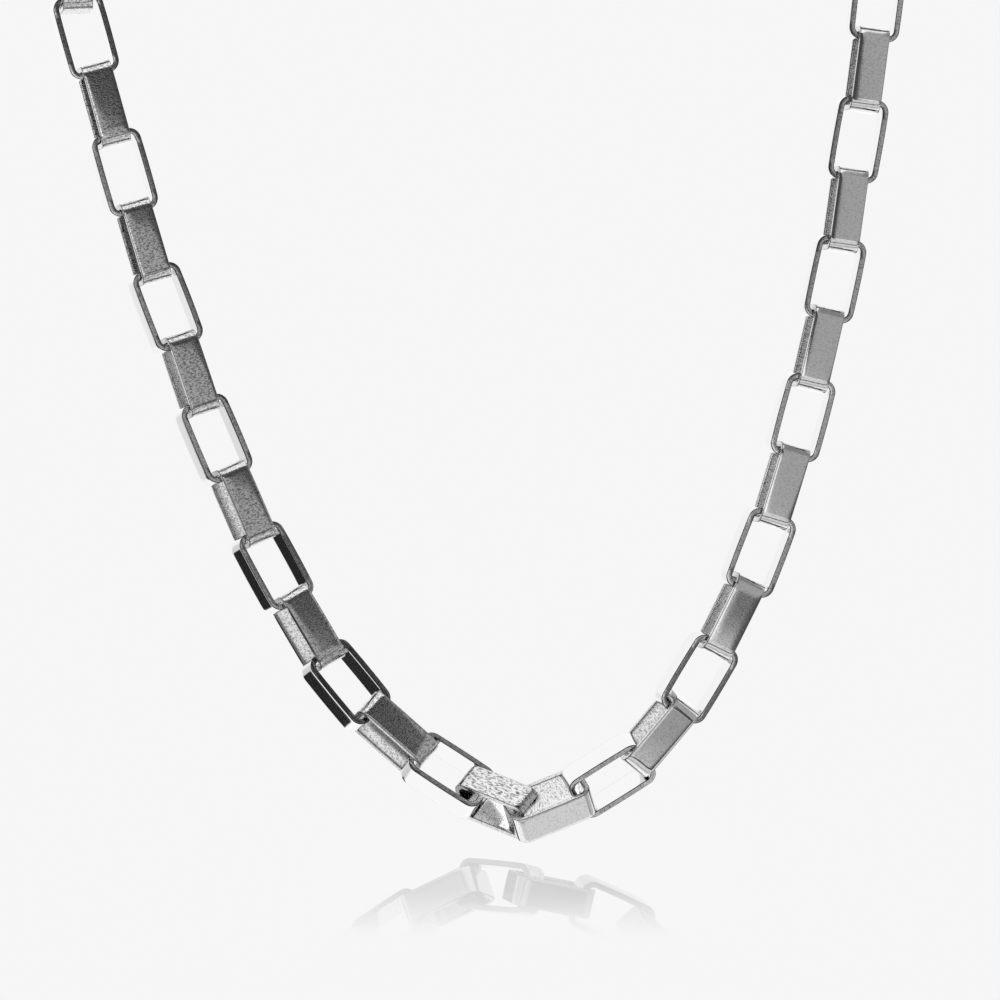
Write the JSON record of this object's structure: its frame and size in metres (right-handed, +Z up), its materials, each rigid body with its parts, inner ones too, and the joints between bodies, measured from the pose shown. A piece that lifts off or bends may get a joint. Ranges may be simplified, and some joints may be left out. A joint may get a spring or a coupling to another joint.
{
  "type": "box-link chain necklace",
  "caption": "Necklace of long rounded box links in satin steel, hanging in a narrow U, closed at the nape by a plain bar clasp.",
  "frame": {"origin": "middle of the clasp, where the necklace sits on the back of the neck", "axes": "+Z up as worn, -Y towards the front of the wearer, X across the chest"},
  "size_m": [0.1335, 0.0849, 0.1653],
  "materials": {
    "link_steel": "satin, lightly pitted",
    "clasp_steel": "satin"
  },
  "bodies": {
    "root": {"link_01": "link_steel", "link_02": "link_steel", "link_03": "link_steel", "link_04": "link_steel", "link_05": "link_steel", "link_06": "link_steel", "link_07": "link_steel", "link_08": "link_steel", "link_09": "link_steel", "link_10": "link_steel", "link_11": "link_steel", "link_12": "link_steel", "link_13": "link_steel", "link_14": "link_steel", "link_15": "link_steel", "link_16": "link_steel", "link_17": "link_steel", "link_18": "link_steel", "link_19": "link_steel", "link_20": "link_steel", "link_21": "link_steel", "link_22": "link_steel", "link_23": "link_steel", "link_24": "link_steel", "link_25": "link_steel", "link_26": "link_steel", "link_27": "link_steel", "link_28": "link_steel", "link_29": "link_steel", "link_30": "link_steel", "link_31": "link_steel", "link_32": "link_steel", "link_33": "link_steel", "link_34": "link_steel", "link_35": "link_steel", "link_36": "link_steel", "link_37": "link_steel", "link_38": "link_steel", "link_39": "link_steel", "link_40": "link_steel", "link_41": "link_steel", "link_42": "link_steel", "clasp": "clasp_steel"}
  },
  "joints": []
}
